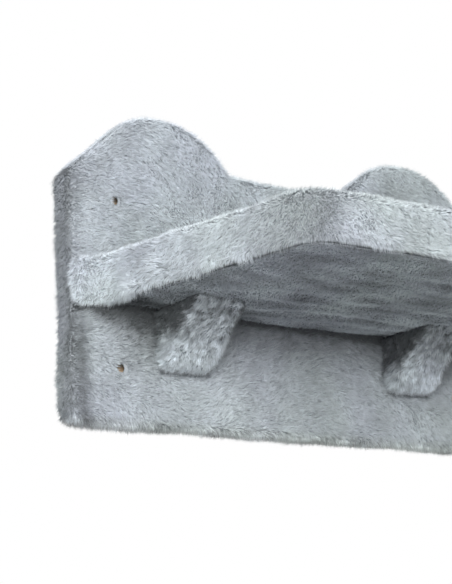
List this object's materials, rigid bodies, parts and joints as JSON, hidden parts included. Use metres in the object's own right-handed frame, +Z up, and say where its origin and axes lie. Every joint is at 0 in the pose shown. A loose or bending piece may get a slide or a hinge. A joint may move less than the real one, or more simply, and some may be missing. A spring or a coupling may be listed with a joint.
{
  "type": "cat climbing wall shelf",
  "caption": "Plush-covered wall shelf for cats: a shelf on two wedge brackets, fixed to a wall board with two rounded humps.",
  "frame": {"origin": "centre of the rectangle of four wall screw holes, on the wall plane", "axes": "+X along the wall to the right seen from the front, +Y into the wall, +Z up"},
  "size_m": [0.498, 0.274, 0.289],
  "materials": {
    "plush": "matt",
    "lining": "matt",
    "board": "matt",
    "foam": "matt",
    "steel": "satin"
  },
  "bodies": {
    "root": {"back_board": "board", "back_plush_cover": "plush", "back_hem_staples": "steel", "shelf_board": "board", "shelf_pad": "foam", "shelf_plush_cover": "plush", "shelf_hem_staples": "steel", "shelf_underside_lining": "lining", "bracket_core_left": "board", "bracket_core_right": "board", "bracket_plush_left": "plush", "bracket_plush_right": "plush", "shelf_screws": "steel", "bracket_back_screws": "steel", "bracket_top_screws": "steel"}
  },
  "joints": []
}
